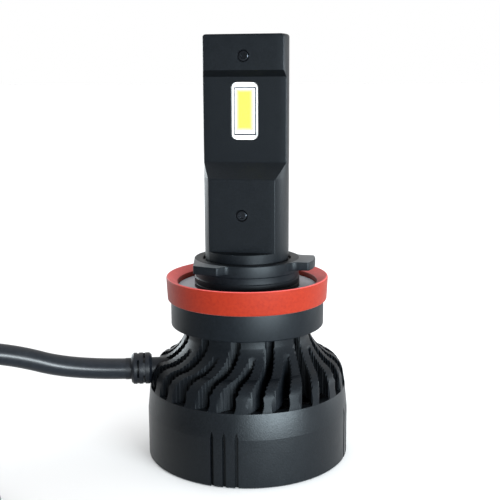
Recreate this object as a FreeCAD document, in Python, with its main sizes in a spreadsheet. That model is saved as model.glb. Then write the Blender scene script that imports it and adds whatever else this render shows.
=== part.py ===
import FreeCAD, Part
import math
import os
import re
import Sketcher

# LED headlight bulb on an H11 adapter collar. Millimetres, +Z up. The origin is the centre of the
# bottom rim of the fan housing. The LEDs face -Y and +Y. Angles in plan are counted from -Y towards +X.

DIMENSIONS = {
    # fan housing and heatsink
    "skirt_radius": 18.4, "edge_chamfer": 0.3, "cone_foot": 8.65, "slot_floor": 13.1,
    "shoulder_radius": 17.95, "dome_radius": 17.6, "dome_foot": 15.2, "dome_round": 3.4,
    "sweep_radius": 15.0, "dome_top": 18.05, "sweep_round": 8.5, "neck_radius": 11.4,
    "neck_foot": 22.2, "neck_top": 24.15, "spigot_radius": 7.82, "spigot_top": 35.9,
    "cavity_radius": 16.4, "cavity_roof": 13.6, "chamber_radius": 8.4, "chamber_top": 22.0,
    "socket_radius": 6.45, "screw_groove_radius": 7.3, "screw_groove_low": 25.3,
    "screw_groove_high": 28.1, "ring_groove_radius": 7.05, "ring_groove_low": 32.2,
    "ring_groove_high": 33.2, "slot_count": 12, "flute_width": 0.6, "flute_depth": 0.45,
    "flute_top": 9.5, "flute_turn": 7.0, "gland_angle": 73.0, "gland_height": 16.1,
    "gland_bore": 2.0,
    # adapter collar and seal
    "collar_bore": 7.9, "collar_foot": 24.24, "flange_radius": 13.88, "flange_top": 28.9,
    "disc_radius": 12.6, "disc_top": 31.3, "bayonet_radius": 9.5, "bayonet_relief": 9.38,
    "relief_low": 33.15, "relief_high": 34.4, "lug_floor": 34.9, "lug_top": 36.4,
    "lug_radius": 12.3, "lug_root_radius": 8.9, "seal_radius_low": 14.44, "seal_radius_high": 14.67,
    "seal_top": 33.4, "seal_lip": 32.2, "seal_bore": 12.62, "grub_radius": 1.2,
    "grub_height": 26.7, "grub_tip": 7.35, "grub_length": 5.6,
    # lamp column
    "column_radius": 7.55, "column_foot": 36.0, "column_top": 75.6, "round_top": 38.0,
    "lower_face": 4.75, "ramp_low": 50.9, "led_face": 1.6, "ramp_high": 53.6, "bevel_low": 68.4,
    "top_face": 2.7, "bevel_high": 69.5, "foot_radius": 6.4, "foot_bottom": 26.0,
    "board_half": 6.15, "board_foot_half": 4.5, "board_thick": 1.56, "board_bottom": 24.0,
    "board_step": 36.5, "board_top": 74.8, "board_gap": 0.1, "window_width": 4.85,
    "window_height": 10.0, "window_round": 1.0, "led_substrate": 0.2, "led_height": 62.5, "top_screw": 71.9,
    "low_screw": 44.5, "head_bore": 1.0, "head_radius": 0.93, "head_height": 0.55,
    "head_seat": 0.6, "shank_radius": 0.58, "shank_bore": 0.64,
    # fan
    "frame_radius": 16.3, "frame_bore": 13.9, "frame_bottom": 1.35, "frame_top": 11.5,
    "base_radius": 6.2, "base_bottom": 10.5, "sleeve_radius": 1.8, "sleeve_bore": 0.8,
    "sleeve_bottom": 3.7, "shaft_radius": 0.75, "shaft_bottom": 2.9, "shaft_top": 11.3,
    "clip_bottom": 10.6, "clip_top": 10.9, "core_bottom": 5.0, "core_top": 8.0,
    "magnet_bore": 5.0, "magnet_radius": 5.65, "cup_radius": 6.05, "rotor_top": 8.9,
    "hub_radius": 6.8, "hub_bottom": 2.2, "blade_tip": 12.9, "blade_count": 7,
    "guard_bottom": 0.5, "guard_top": 1.3, "fan_screw_circle": 15.1,
    # driver
    "driver_bottom": 14.2, "driver_top": 15.2, "driver_radius": 8.1,
    # lead and plug
    "lead_radius": 1.9, "coil_radius": 19.6, "coil_height": 7.75, "coil_x": -50.9, "coil_y": -46.6,
    "plug_length": 22.0, "plug_width": 16.5, "plug_height": 13.5, "plug_mouth_depth": 13.0,
    "plug_wall": 1.6,
}

# The route of the lead from the strain relief to the coil, and from the coil to the plug.
LEAD_ROUTE = [
    (-21.3, -6.5, 16.1), (-30.8, -9.4, 16.3), (-39.8, -15.5, 20.7), (-49.1, -21.3, 22.2),
    (-58.8, -26.4, 19.9), (-67.3, -32.5, 15.0), (-71.3, -42.1, 9.7), (-70.0, -52.9, 6.2),
]
TAIL_ROUTE = [
    (-47.8, -66.0, 2.1), (-37.1, -64.5, 2.4), (-26.0, -62.9, 5.6), (-15.2, -62.3, 6.75),
]
PLUG_CAP_LENGTH = 8.0
FAN_SCREW_ANGLES = (90, 210, 330)

V = FreeCAD.Vector
UP = V(0, 0, 1)
doc = FreeCAD.newDocument("headlight_bulb")
nodes = {}


def fill_sheet():
    """The driving dimensions, one named cell each."""
    sheet = doc.addObject("Spreadsheet::Sheet", "dims")
    for row, (name, size) in enumerate(DIMENSIONS.items(), start=1):
        sheet.set(f"A{row}", name)
        sheet.set(f"B{row}", str(size))
        sheet.setAlias(f"B{row}", name)
    doc.recompute()
    return sheet


dims = fill_sheet()


def formula(text):
    """An expression on the sheet, from one written with the bare names of its cells."""
    return re.sub(
        r"[a-z][a-z_]*", lambda word: f"dims.{word[0]}" if word[0] in DIMENSIONS else word[0], str(text)
    )


def size_of(text):
    return float(doc.dims.evalExpression(formula(text)))


def bind(thing, **sizes):
    """Bind properties to the sheet. A double underscore stands for a dot in a property's path."""
    for path, text in sizes.items():
        thing.setExpression(path.replace("__", "."), formula(text))


def keep(label, thing):
    """Name a finished sub-part. Its label is the name of its file."""
    thing.Label = label
    nodes[label] = thing
    return thing


# Sketches: closed loops of lines and arcs, with every corner bound to the sheet.

def pin(sketch, kind, curve, end, text):
    """Hold one coordinate of a corner at its distance from the origin."""
    distance = size_of(text)
    if abs(distance) < 1e-9:
        axis = -2 if kind == "DistanceX" else -1
        sketch.addConstraint(Sketcher.Constraint("PointOnObject", curve, end, axis))
        return
    if distance > 0:
        index = sketch.addConstraint(Sketcher.Constraint(kind, -1, 1, curve, end, distance))
        sketch.setExpression(f"Constraints[{index}]", formula(text))
    else:
        index = sketch.addConstraint(Sketcher.Constraint(kind, curve, end, -1, 1, -distance))
        sketch.setExpression(f"Constraints[{index}]", "-(" + formula(text) + ")")


def bulge_point(start, finish, radius):
    """A point half way round an arc that bulges right of its direction, or left if radius is negative."""
    chord = finish - start
    half = chord.Length / 2
    rise = abs(radius) - math.sqrt(radius * radius - half * half)
    side = V(chord.y, -chord.x, 0).normalize() * math.copysign(1, radius)
    return start + chord / 2 + side * rise


def add_loop(sketch, corners):
    """Corners are (x, y), or (x, y, radius) where an arc runs to the next corner."""
    first = sketch.GeometryCount
    spots = [V(size_of(c[0]), size_of(c[1]), 0) for c in corners]
    ends = []
    for i, corner in enumerate(corners):
        start, finish = spots[i], spots[(i + 1) % len(spots)]
        if len(corner) == 3:
            middle = bulge_point(start, finish, size_of(corner[2]))
            curve = Part.Arc(start, middle, finish)
        else:
            curve = Part.LineSegment(start, finish)
        index = sketch.addGeometry(curve, False)
        ends.append((1, 2) if (sketch.getPoint(index, 1) - start).Length < 1e-6 else (2, 1))
    for i in range(len(corners)):
        after = (i + 1) % len(corners)
        sketch.addConstraint(
            Sketcher.Constraint("Coincident", first + i, ends[i][1], first + after, ends[after][0])
        )
    for i, corner in enumerate(corners):
        pin(sketch, "DistanceX", first + i, ends[i][0], corner[0])
        pin(sketch, "DistanceY", first + i, ends[i][0], corner[1])
        if len(corner) == 3:
            radius = f"abs({corner[2]})"
            index = sketch.addConstraint(Sketcher.Constraint("Radius", first + i, size_of(radius)))
            sketch.setExpression(f"Constraints[{index}]", formula(radius))


def add_circle(sketch, x, y, radius):
    circle = Part.Circle(V(size_of(x), size_of(y), 0), UP, size_of(radius))
    index = sketch.addGeometry(circle, False)
    pin(sketch, "DistanceX", index, 3, x)
    pin(sketch, "DistanceY", index, 3, y)
    bound = sketch.addConstraint(Sketcher.Constraint("Radius", index, size_of(radius)))
    sketch.setExpression(f"Constraints[{bound}]", formula(radius))


def sketch_on(body, name, role, loops=(), circles=(), lift="0"):
    """A sketch on one of the body's own origin planes, lifted along the plane's normal."""
    sketch = body.newObject("Sketcher::SketchObject", name)
    plane = next(f for f in body.Origin.OriginFeatures if f.Role == role)
    sketch.AttachmentSupport = [(plane, "")]
    sketch.MapMode = "FlatFace"
    bind(sketch, AttachmentOffset__Base__z=lift)
    for corners in loops:
        add_loop(sketch, corners)
    for circle in circles:
        add_circle(sketch, *circle)
    return sketch


# Features

def new_body(name):
    return doc.addObject("PartDesign::Body", name)


def revolve(body, name, corners):
    """Turn a profile of (radius, height) corners about the body's Z axis."""
    sketch = sketch_on(body, name + "_profile", "XZ_Plane", [corners])
    feature = body.newObject("PartDesign::Revolution", name)
    feature.Profile = sketch
    feature.ReferenceAxis = (sketch, ["V_Axis"])
    feature.Angle = 360
    doc.recompute()
    return feature


def pad(body, name, sketch, length, symmetric=False):
    feature = body.newObject("PartDesign::Pad", name)
    feature.Profile = sketch
    feature.SideType = "Symmetric" if symmetric else "One side"
    bind(feature, Length=length)
    doc.recompute()
    return feature


def pocket(body, name, sketch, length, along_normal=True):
    """Cut along the sketch's normal, or against it, and make sure that something was cut."""
    before = body.Shape.Volume
    feature = body.newObject("PartDesign::Pocket", name)
    feature.Profile = sketch
    feature.Reversed = along_normal
    bind(feature, Length=length)
    doc.recompute()
    if not body.Shape.Volume < before - 1e-4:
        raise RuntimeError(f"{name} cuts nothing")
    return feature


def polar(body, name, feature, count):
    """Repeat a feature all round the body's Z axis."""
    pattern = body.newObject("PartDesign::PolarPattern", name)
    pattern.Originals = [feature]
    pattern.Axis = (next(f for f in body.Origin.OriginFeatures if f.Role == "Z_Axis"), [""])
    pattern.Angle = 360
    bind(pattern, Occurrences=count)
    body.Tip = pattern
    doc.recompute()
    return pattern


def cylinder(name, radius, height, spot=None, rotation=None):
    """A cylinder whose base centre is at the given place, or free to be placed."""
    thing = doc.addObject("Part::Cylinder", name)
    if rotation:
        thing.Placement.Rotation = rotation
    bind(thing, Radius=radius, Height=height)
    if spot:
        bind(thing, Placement__Base__x=spot[0], Placement__Base__y=spot[1], Placement__Base__z=spot[2])
    return thing


def block(name, size, centre, bottom):
    """A box centred on x and y, standing on its bottom height."""
    thing = doc.addObject("Part::Box", name)
    length, width, height = size
    bind(thing, Length=length, Width=width, Height=height,
         Placement__Base__x=f"{centre[0]} - ({length}) / 2",
         Placement__Base__y=f"{centre[1]} - ({width}) / 2", Placement__Base__z=bottom)
    return thing


def cut(name, base, tool):
    thing = doc.addObject("Part::Cut", name)
    thing.Base = base
    thing.Tool = tool
    doc.recompute()
    return thing


def group(name, things):
    """Several separate solids as one sub-part."""
    thing = doc.addObject("Part::Compound", name)
    thing.Links = things
    return thing


def fuse(name, things):
    thing = doc.addObject("Part::MultiFuse", name)
    thing.Shapes = things
    doc.recompute()
    return thing


def facing(direction):
    """The rotation that turns +Z to a direction."""
    return FreeCAD.Rotation(UP, direction)


def outward(angle):
    """The unit vector in plan at an angle counted from -Y towards +X."""
    return V(math.sin(math.radians(angle)), -math.cos(math.radians(angle)), 0)


def place(thing, spot, rotation):
    thing.Placement = FreeCAD.Placement(spot, rotation)
    return thing


# Heatsink

def slot_outline(stations):
    """A plan outline that is symmetric about a curved centre line.

    Each station is (radius, angle, width)."""
    sides = []
    for side in (1, -1):
        sides.append([
            (f"{r} * sin({a}) + {side * w / 2} * cos({a})", f"-{r} * cos({a}) + {side * w / 2} * sin({a})")
            for r, a, w in stations
        ])
    return sides[0] + sides[1][::-1]


def make_heatsink():
    """Skirt, slotted dome, neck and spigot, cast in one piece."""
    body = new_body("heatsink_casting")
    revolve(body, "casting", [
        ("skirt_radius - edge_chamfer", "0"),
        ("skirt_radius", "edge_chamfer"),
        ("skirt_radius", "cone_foot"),
        ("shoulder_radius", "slot_floor"),
        ("dome_radius", "dome_foot", "dome_round"),
        ("sweep_radius", "dome_top", "-sweep_round"),
        ("neck_radius", "neck_foot"),
        ("neck_radius", "neck_top"),
        ("spigot_radius", "neck_top"),
        ("spigot_radius", "screw_groove_low"),
        ("screw_groove_radius", "screw_groove_low"),
        ("screw_groove_radius", "screw_groove_high"),
        ("spigot_radius", "screw_groove_high"),
        ("spigot_radius", "ring_groove_low"),
        ("ring_groove_radius", "ring_groove_low"),
        ("ring_groove_radius", "ring_groove_high"),
        ("spigot_radius", "ring_groove_high"),
        ("spigot_radius", "spigot_top"),
        ("socket_radius", "spigot_top"),
        ("socket_radius", "chamber_top"),
        ("chamber_radius", "chamber_top"),
        ("chamber_radius", "cavity_roof"),
        ("cavity_radius", "cavity_roof"),
        ("cavity_radius", "0"),
    ])
    long_slot = [(9.9, 34.6, 1.5), (11.4, 31.0, 1.75), (14.5, 23.6, 2.15), (18.8, 13.2, 2.5)]
    short_slot = [(12.1, 15.2, 0.9), (13.2, 12.2, 1.6), (15.2, 6.6, 2.2), (18.8, -3.3, 3.3)]
    for name, stations in (("long_slot", long_slot), ("short_slot", short_slot)):
        sketch = sketch_on(body, name + "_plan", "XY_Plane", [slot_outline(stations)], lift="slot_floor")
        feature = pocket(body, name, sketch, "neck_top - slot_floor + 1")
        polar(body, name + "s", feature, "slot_count")
    half = "flute_width / 2"
    for turn in (-1, 0, 1):
        # three vertical flutes side by side, repeated on the four sides of the skirt
        deep = "(skirt_radius - flute_depth)"
        out = "(skirt_radius + 1)"
        angle = f"({turn} * flute_turn)"
        corners = [
            (f"{r} * sin({angle}) + {s} * {half} * cos({angle})",
             f"-{r} * cos({angle}) + {s} * {half} * sin({angle})")
            for r, s in ((deep, 1), (out, 1), (out, -1), (deep, -1))
        ]
        label = "flute_" + {-1: "left", 0: "middle", 1: "right"}[turn]
        sketch = sketch_on(body, label + "_plan", "XY_Plane", [corners])
        feature = pocket(body, label, sketch, "flute_top")
        polar(body, label + "_set", feature, "4")
    way = outward(-DIMENSIONS["gland_angle"])
    hole = cylinder("gland_hole", "gland_bore", "14", rotation=facing(way), spot=(
        "-7 * sin(gland_angle)", "-7 * cos(gland_angle)", "gland_height"))
    keep("heatsink_body", cut("heatsink", body, hole))


# Adapter collar

def make_collar():
    """The three-lug H11 collar: flange, disc, bayonet neck and lugs."""
    body = new_body("collar")
    revolve(body, "collar_ring", [
        ("collar_bore", "collar_foot"),
        ("flange_radius", "collar_foot"),
        ("flange_radius", "flange_top"),
        ("disc_radius", "flange_top"),
        ("disc_radius", "disc_top"),
        ("bayonet_radius", "disc_top"),
        ("bayonet_radius", "relief_low"),
        ("bayonet_relief", "relief_low"),
        ("bayonet_relief", "relief_high"),
        ("bayonet_radius", "relief_high"),
        ("bayonet_radius", "lug_top"),
        ("collar_bore", "lug_top"),
    ])

    def spoke(radius, angle):
        return (f"{radius} * sin({angle})", f"-{radius} * cos({angle})")

    def even_lug(middle):
        """A lug with straight flanks, a round tip and wide roots."""
        return [
            spoke("lug_root_radius", middle - 24),
            spoke("(bayonet_radius + 0.2)", middle - 23),
            spoke("(bayonet_radius + 1.1)", middle - 18),
            spoke("lug_radius", middle - 17) + ("lug_radius",),
            spoke("lug_radius", middle + 17),
            spoke("(bayonet_radius + 1.1)", middle + 18),
            spoke("(bayonet_radius + 0.2)", middle + 23),
            spoke("lug_root_radius", middle + 24),
        ]

    # the key lug runs off the neck along a tangent, so it can't be seated the wrong way round
    key_lug = [
        spoke("lug_root_radius", -40),
        spoke("lug_root_radius", -74),
        spoke("bayonet_radius", -74),
        spoke("lug_radius", -38),
        spoke("(lug_radius - 0.8)", -15.7),
        spoke("(bayonet_radius + 0.6)", -11),
        spoke("(bayonet_radius + 0.1)", -6),
        spoke("lug_root_radius", -6),
    ]
    loops = {"right_lug": even_lug(90), "back_lug": even_lug(210), "key_lug": key_lug}
    for name, corners in loops.items():
        sketch = sketch_on(body, name + "_plan", "XY_Plane", [corners], lift="lug_floor")
        pad(body, name, sketch, "lug_top - lug_floor")
    hole = cylinder("grub_hole", "grub_radius + 0.05", "10", rotation=facing(outward(170)), spot=(
        "5 * sin(170)", "-5 * cos(170)", "grub_height"))
    keep("locking_collar", cut("collar_drilled", body, hole))


def make_seal():
    """The red silicone seal, whose top slopes in towards the disc."""
    body = new_body("seal")
    revolve(body, "seal_ring", [
        ("seal_bore", "flange_top"),
        ("seal_radius_low", "flange_top"),
        ("seal_radius_high", "seal_top"),
        ("seal_bore", "seal_lip"),
    ])
    keep("silicone_seal", body)


def make_collar_fixings():
    """The grub screw that locks the collar, and the O-ring that steadies it."""
    away = outward(170)
    shank = doc.addObject("Part::Cylinder", "grub_shank")
    bind(shank, Radius="grub_radius", Height="grub_length")
    key = doc.addObject("Part::Prism", "grub_key")
    key.Polygon = 6
    bind(key, Circumradius="grub_radius * 0.55", Height="grub_length / 2",
         Placement__Base__z="grub_length / 2 + 0.01")
    grub = cut("grub", shank, key)
    place(grub, away * DIMENSIONS["grub_tip"] + UP * DIMENSIONS["grub_height"], facing(away))
    keep("collar_grub_screw", grub)
    ring = doc.addObject("Part::Torus", "o_ring_torus")
    bind(ring, Radius1="7.45", Radius2="0.36",
         Placement__Base__z="(ring_groove_low + ring_groove_high) / 2")
    keep("spigot_o_ring", ring)


# Lamp column

def round_cornered(width, height):
    """The outline of the LED window, or of a plate that drops into it."""
    wide, tall = f"({width}) / 2", f"({height}) / 2"
    inner_wide, inner_tall = f"({wide} - window_round)", f"({tall} - window_round)"
    corners = []
    for sx, sz in ((1, -1), (1, 1), (-1, 1), (-1, -1)):
        side_spot = (f"{sx} * {wide}", f"led_height + {sz} * {inner_tall}")
        end_spot = (f"{sx} * {inner_wide}", f"led_height + {sz} * {tall}")
        start, finish = (side_spot, end_spot) if sx == sz else (end_spot, side_spot)
        corners += [start + ("window_round",), finish]
    return corners


def make_column_shell(label, turn, screw_heads):
    """One half of the lamp column, with a recess for the core board and an LED window."""
    body = new_body(label + "_body")
    side = sketch_on(body, label + "_side", "YZ_Plane", [[
        ("0", "column_foot"),
        ("-column_radius - 1", "column_foot"),
        ("-column_radius - 1", "round_top"),
        ("-lower_face", "round_top"),
        ("-lower_face", "ramp_low"),
        ("-led_face", "ramp_high"),
        ("-led_face", "bevel_low"),
        ("-top_face", "bevel_high"),
        ("-top_face", "column_top"),
        ("0", "column_top"),
    ]])
    pad(body, label + "_bar", side, "column_radius * 2 + 2", symmetric=True)
    foot = sketch_on(body, label + "_foot_side", "YZ_Plane", [[
        ("0", "foot_bottom"),
        ("-column_radius - 1", "foot_bottom"),
        ("-column_radius - 1", "column_foot"),
        ("0", "column_foot"),
    ]])
    pad(body, label + "_foot", foot, "column_radius * 2 + 2", symmetric=True)
    for name, radius, low, high in (
        ("round", "column_radius", "column_foot", "column_top"),
        ("foot_round", "foot_radius", "foot_bottom", "column_foot"),
    ):
        circles = [("0", "0", radius), ("0", "0", "column_radius * 2")]
        sketch = sketch_on(body, f"{label}_{name}_plan", "XY_Plane", circles=circles, lift=low)
        pocket(body, f"{label}_{name}", sketch, f"{high} - {low}")
    recess = [
        ("-board_foot_half - board_gap", "foot_bottom"),
        ("board_foot_half + board_gap", "foot_bottom"),
        ("board_foot_half + board_gap", "board_step - board_gap"),
        ("board_half + board_gap", "board_step - board_gap"),
        ("board_half + board_gap", "board_top + board_gap"),
        ("-board_half - board_gap", "board_top + board_gap"),
        ("-board_half - board_gap", "board_step - board_gap"),
        ("-board_foot_half - board_gap", "board_step - board_gap"),
    ]
    sketch = sketch_on(body, label + "_recess_plan", "XZ_Plane", [recess])
    pocket(body, label + "_recess", sketch, "board_thick / 2 + 0.02")
    window = round_cornered("window_width", "window_height")
    sketch = sketch_on(body, label + "_window_plan", "XZ_Plane", [window])
    pocket(body, label + "_window", sketch, "column_radius")
    for name, height, face in (("top", "top_screw", "top_face"), ("low", "low_screw", "lower_face")):
        sketch = sketch_on(body, f"{label}_{name}_hole_plan", "XZ_Plane", circles=[
            ("0", height, "shank_bore")])
        pocket(body, f"{label}_{name}_hole", sketch, "column_radius")
        if screw_heads:
            sketch = sketch_on(body, f"{label}_{name}_bore_plan", "XZ_Plane", circles=[
                ("0", height, "head_bore")], lift=f"{face} - head_seat")
            pocket(body, f"{label}_{name}_bore", sketch, "column_radius")
    body.Placement.Rotation = FreeCAD.Rotation(UP, turn)
    keep(label, body)


def make_core_board():
    """The copper core board between the two column shells."""
    body = new_body("core_board")
    sketch = sketch_on(body, "core_board_plan", "XZ_Plane", [[
        ("-board_foot_half", "board_bottom"),
        ("board_foot_half", "board_bottom"),
        ("board_foot_half", "board_step"),
        ("board_half", "board_step"),
        ("board_half", "board_top"),
        ("-board_half", "board_top"),
        ("-board_half", "board_step"),
        ("-board_foot_half", "board_step"),
    ]], circles=[("0", "top_screw", "shank_bore + 0.05"), ("0", "low_screw", "shank_bore + 0.05")])
    pad(body, "core_board_plate", sketch, "board_thick", symmetric=True)
    keep("led_core_board", body)


def make_leds():
    """A white substrate, an LED package and its phosphor layer on each side."""
    for side, turn, way in (("front", 0, -1), ("rear", 180, 1)):
        label = f"led_substrate_{side}"
        body = new_body(label + "_plate")
        plan = round_cornered("window_width - 0.1", "window_height - 0.1")
        sketch = sketch_on(body, label + "_plan", "XZ_Plane", [plan], lift="board_thick / 2")
        pad(body, label + "_pad", sketch, "led_substrate")
        body.Placement.Rotation = FreeCAD.Rotation(UP, turn)
        keep(label, body)
        for name, wide, tall, thick, rise, up in (
            ("led_package", 3.6, 7.8, 0.45, "led_substrate", 0),
            ("led_phosphor", 2.45, 6.8, 0.08, "led_substrate + 0.45", 0.25),
        ):
            middle = f"{way} * (board_thick / 2 + {rise} + {thick} / 2)"
            low = f"led_height + {up} - {tall} / 2"
            keep(f"{name}_{side}", block(f"{name}_{side}_box", (wide, thick, tall), ("0", middle), low))


def make_screw(name, sizes, spot, direction):
    """A socket screw. It stands along +Z with the underside of its head at the origin."""
    head_radius, head_height, shank_radius, length = sizes
    head = cylinder(name + "_head", head_radius, head_height)
    shank = cylinder(name + "_shank", shank_radius, f"{length} + 0.05", spot=("0", "0", f"-({length})"))
    key = doc.addObject("Part::Prism", name + "_key")
    key.Polygon = 6
    bind(key, Circumradius=f"({head_radius}) * 0.5", Height=head_height,
         Placement__Base__z=f"({head_height}) * 0.4")
    screw = cut(name, fuse(name + "_blank", [head, shank]), key)
    return place(screw, spot, facing(direction))


def make_column_screws():
    """Two screws that clamp the column shells and the core board together."""
    screws = []
    for name, height, face in (("top", "top_screw", "top_face"), ("low", "low_screw", "lower_face")):
        seat = DIMENSIONS[face] - DIMENSIONS["head_seat"]
        sizes = ("head_radius", "head_height", "shank_radius", f"2 * {face} - head_seat - 0.5")
        spot = V(0, -seat, DIMENSIONS[height])
        screws.append(make_screw(f"{name}_column_screw", sizes, spot, V(0, -1, 0)))
    keep("column_screws", group("column_screw_set", screws))


# Driver electronics

def make_driver():
    """The round driver board in the neck, its parts and its wires to the LEDs."""
    keep("driver_board", cylinder("driver_disc", "driver_radius", "driver_top - driver_bottom",
                                  spot=("0", "0", "driver_bottom")))
    keep("driver_capacitor", cylinder("capacitor_can", "1.7", "5.0", spot=("4.4", "3.4", "driver_top")))
    keep("driver_inductor", cylinder("inductor_drum", "2.1", "3.4", spot=("4.4", "-3.9", "driver_top")))
    keep("driver_chip", block("chip_box", ("3.4", "3.4", "0.9"), ("-3.4", "4.4"), "driver_top"))
    wires = [
        cylinder(f"led_wire_{i}", "0.4", "board_bottom + 1.5 - driver_top",
                 spot=(f"{way} * 2", f"{-way} * 1.25", "driver_top"))
        for i, way in enumerate((1, -1))
    ]
    keep("led_leads", group("led_wire_pair", wires))
    wires = [
        cylinder(f"fan_wire_{i}", "0.35", "driver_bottom - 9.8", spot=("3.4", f"{way} * 0.9", "9.8"))
        for i, way in enumerate((1, -1))
    ]
    keep("fan_leads", group("fan_wire_pair", wires))


# Fan

def fan_screw_holes(radius):
    """A circle at the place of each fan screw."""
    return [(f"fan_screw_circle * sin({a})", f"-fan_screw_circle * cos({a})", radius)
            for a in FAN_SCREW_ANGLES]


def make_fan_frame():
    """The venturi ring, with the motor base on four struts."""
    body = new_body("frame")
    revolve(body, "venturi", [
        ("frame_bore", "frame_bottom"),
        ("frame_radius", "frame_bottom"),
        ("frame_radius", "frame_top"),
        ("frame_bore", "frame_top"),
    ])
    height = "frame_top - base_bottom"
    strut = sketch_on(body, "strut_plan", "XY_Plane", [[
        ("0", "-0.9"), ("frame_bore + 0.5", "-0.9"), ("frame_bore + 0.5", "0.9"), ("0", "0.9"),
    ]], lift="base_bottom")
    polar(body, "struts", pad(body, "strut", strut, height), "4")
    base = sketch_on(body, "base_plan", "XY_Plane", circles=[("0", "0", "base_radius")], lift="base_bottom")
    pad(body, "motor_base", base, height)
    holes = [("0", "0", "sleeve_radius + 0.02"), ("3.4", "0.9", "0.4"), ("3.4", "-0.9", "0.4")]
    sketch = sketch_on(body, "base_holes_plan", "XY_Plane", circles=holes, lift="base_bottom - 0.5")
    pocket(body, "base_holes", sketch, "3")
    sketch = sketch_on(body, "pilot_plan", "XY_Plane", circles=fan_screw_holes("0.62"), lift="frame_bottom")
    pocket(body, "pilots", sketch, "5.2")
    keep("fan_frame", body)


def make_stator():
    """Bearing sleeve, four-pole core, coils and circuit board, fixed to the motor base."""
    body = new_body("sleeve")
    revolve(body, "sleeve_tube", [
        ("sleeve_bore", "sleeve_bottom"),
        ("sleeve_radius", "sleeve_bottom"),
        ("sleeve_radius", "base_bottom"),
        ("sleeve_bore", "base_bottom"),
    ])
    keep("bearing_sleeve", body)
    body = new_body("core")
    revolve(body, "core_ring", [
        ("sleeve_radius + 0.02", "core_bottom"), ("2.6", "core_bottom"), ("2.6", "core_top"),
        ("sleeve_radius + 0.02", "core_top"),
    ])
    pole = [("2.3", "-0.5"), ("3.95", "-0.5"), ("3.95", "-1.6"), ("4.45", "-1.6"), ("4.45", "1.6"),
            ("3.95", "1.6"), ("3.95", "0.5"), ("2.3", "0.5")]
    sketch = sketch_on(body, "pole_plan", "XY_Plane", [pole], lift="core_bottom")
    polar(body, "poles", pad(body, "pole", sketch, "core_top - core_bottom"), "4")
    keep("stator_core", body)
    coils = []
    for turn in range(4):
        outer = block(f"coil_outer_{turn}", ("1.15", "2.3", "4.4"), ("3.3", "0"), "core_bottom - 0.7")
        inner = block(f"coil_inner_{turn}", ("2", "1.06", "3.06"), ("3.3", "0"), "core_bottom - 0.03")
        winding = cut(f"coil_{turn}", outer, inner)
        coils.append(place(winding, V(0, 0, 0), FreeCAD.Rotation(UP, 90 * turn)))
    keep("stator_coils", group("stator_coil_set", coils))
    body = new_body("fan_circuit")
    revolve(body, "fan_circuit_disc", [("2.0", "9.2"), ("5.2", "9.2"), ("5.2", "9.8"), ("2.0", "9.8")])
    keep("fan_circuit_board", body)


def make_rotor():
    """Shaft, clip, ring magnet, steel cup and the seven-bladed impeller."""
    body = new_body("shaft")
    revolve(body, "shaft_rod", [
        ("0", "shaft_bottom"), ("shaft_radius", "shaft_bottom"), ("shaft_radius", "clip_bottom"),
        ("0.6", "clip_bottom"), ("0.6", "clip_top"), ("shaft_radius", "clip_top"),
        ("shaft_radius", "shaft_top"), ("0", "shaft_top"),
    ])
    keep("fan_shaft", body)
    body = new_body("clip")
    revolve(body, "clip_ring", [
        ("0.61", "clip_bottom + 0.01"), ("1.35", "clip_bottom + 0.01"), ("1.35", "clip_top - 0.01"),
        ("0.61", "clip_top - 0.01"),
    ])
    keep("shaft_clip", body)
    body = new_body("magnet")
    revolve(body, "magnet_ring", [
        ("magnet_bore", "core_bottom - 0.6"), ("magnet_radius", "core_bottom - 0.6"),
        ("magnet_radius", "rotor_top"), ("magnet_bore", "rotor_top"),
    ])
    keep("rotor_magnet", body)
    body = new_body("cup")
    revolve(body, "cup_shell", [
        ("shaft_radius + 0.01", "shaft_bottom"), ("cup_radius", "shaft_bottom"),
        ("cup_radius", "rotor_top"), ("magnet_radius + 0.03", "rotor_top"),
        ("magnet_radius + 0.03", "shaft_bottom + 0.5"), ("shaft_radius + 0.01", "shaft_bottom + 0.5"),
    ])
    keep("rotor_cup", body)
    body = new_body("fan_wheel")
    revolve(body, "hub", [
        ("0", "hub_bottom"), ("hub_radius - 0.6", "hub_bottom", "0.8"), ("hub_radius", "hub_bottom + 0.6"),
        ("hub_radius", "rotor_top + 0.4"), ("cup_radius + 0.02", "rotor_top + 0.4"),
        ("cup_radius + 0.02", "shaft_bottom - 0.02"), ("0", "shaft_bottom - 0.02"),
    ])
    sections = []
    for name, out, lean, rise in (("root", "hub_radius - 0.3", 2.3, 5.6), ("tip", "blade_tip", 3.6, 4.6)):
        corners = [(f"{-lean}", f"6 - {rise} / 2"), (f"{-lean + 0.7}", f"6 - {rise} / 2"),
                   (f"{lean}", f"6 + {rise} / 2"), (f"{lean - 0.7}", f"6 + {rise} / 2")]
        sections.append(sketch_on(body, f"blade_{name}", "YZ_Plane", [corners], lift=out))
    blade = body.newObject("PartDesign::AdditiveLoft", "blade")
    blade.Profile = sections[0]
    blade.Sections = [sections[1]]
    blade.Ruled = True
    doc.recompute()
    polar(body, "blades", blade, "blade_count")
    keep("fan_impeller", body)


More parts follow.
